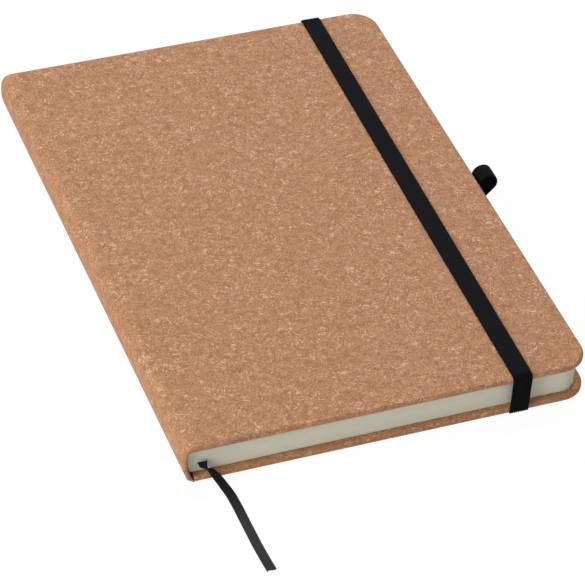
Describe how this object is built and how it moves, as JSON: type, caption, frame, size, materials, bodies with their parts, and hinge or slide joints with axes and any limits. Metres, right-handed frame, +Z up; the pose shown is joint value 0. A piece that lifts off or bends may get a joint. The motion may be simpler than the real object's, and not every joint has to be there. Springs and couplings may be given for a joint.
{
  "type": "hardcover notebook",
  "caption": "Case-bound notebook with rounded fore-edge corners, an elastic band round its covers, an elastic pen loop on the fore-edge and a ribbon marker; both covers open.",
  "frame": {"origin": "middle of the back cover's outer face, on which the closed book lies", "axes": "+X from the spine to the fore-edge, +Y from the tail to the head, +Z up through the pages to the front cover"},
  "size_m": [0.1577, 0.259, 0.0177],
  "materials": {
    "cover_leather": "bonded leather, matt, finely speckled",
    "greyboard": "raw solid board",
    "pages": "uncoated, trimmed edge",
    "endpaper": "uncoated",
    "elastic": "woven, matt",
    "ribbon": "satin"
  },
  "bodies": {
    "book_block": {"text_block": "pages", "spine_lining": "greyboard", "front_flyleaf": "endpaper", "back_flyleaf": "endpaper", "spine_card": "greyboard", "spine_covering": "cover_leather", "front_joint_covering": "cover_leather", "back_joint_covering": "cover_leather", "ribbon_marker": "ribbon"},
    "front_cover": {"front_board": "greyboard", "front_covering": "cover_leather", "front_pastedown": "endpaper"},
    "back_cover": {"back_board": "greyboard", "back_covering": "cover_leather", "back_pastedown": "endpaper", "elastic_band": "elastic", "pen_loop": "elastic"}
  },
  "joints": [
    {"name": "front_hinge", "type": "hinge", "parent": "book_block", "child": "front_cover", "pos_m": [-0.07441, 0, 0.0138], "axis": [0, -1, 0], "range_deg": [0, 178], "deforming": ["front_joint_covering", "spine_card", "elastic_band"]},
    {"name": "back_hinge", "type": "hinge", "parent": "book_block", "child": "back_cover", "pos_m": [-0.0735, 0, 0.0025], "axis": [0, 1, 0], "range_deg": [0, 178], "deforming": ["back_joint_covering", "spine_card", "elastic_band"]}
  ]
}
